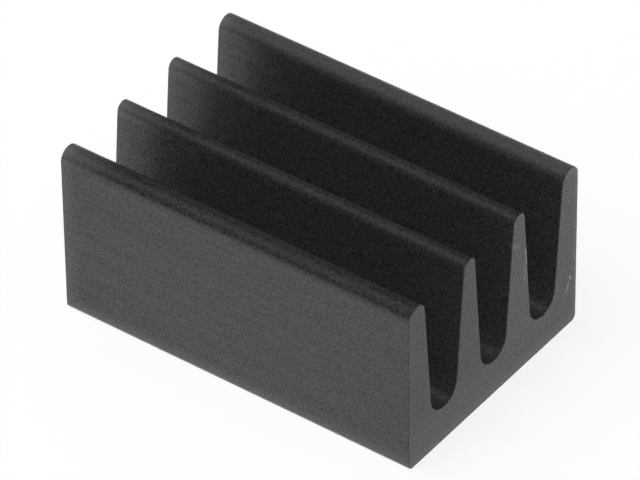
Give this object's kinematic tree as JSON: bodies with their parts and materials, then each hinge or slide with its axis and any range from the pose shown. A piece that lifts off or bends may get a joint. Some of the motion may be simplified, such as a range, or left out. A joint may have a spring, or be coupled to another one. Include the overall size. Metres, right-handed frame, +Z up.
{
  "type": "extruded heat sink",
  "caption": "Small black anodised aluminium heat sink cut from an extruded profile: a flat base with upright tapered fins and round-bottomed channels, for cooling a circuit package.",
  "frame": {"origin": "centre of the flat underside", "axes": "+X along the extrusion, +Y across the fins, +Z up out of the base along the fins"},
  "size_m": [0.0094, 0.0064, 0.0045],
  "materials": {
    "black_anodised": "black anodised, matte satin with a fine etched grain"
  },
  "bodies": {
    "root": {"heat_sink": "black_anodised"}
  },
  "joints": []
}
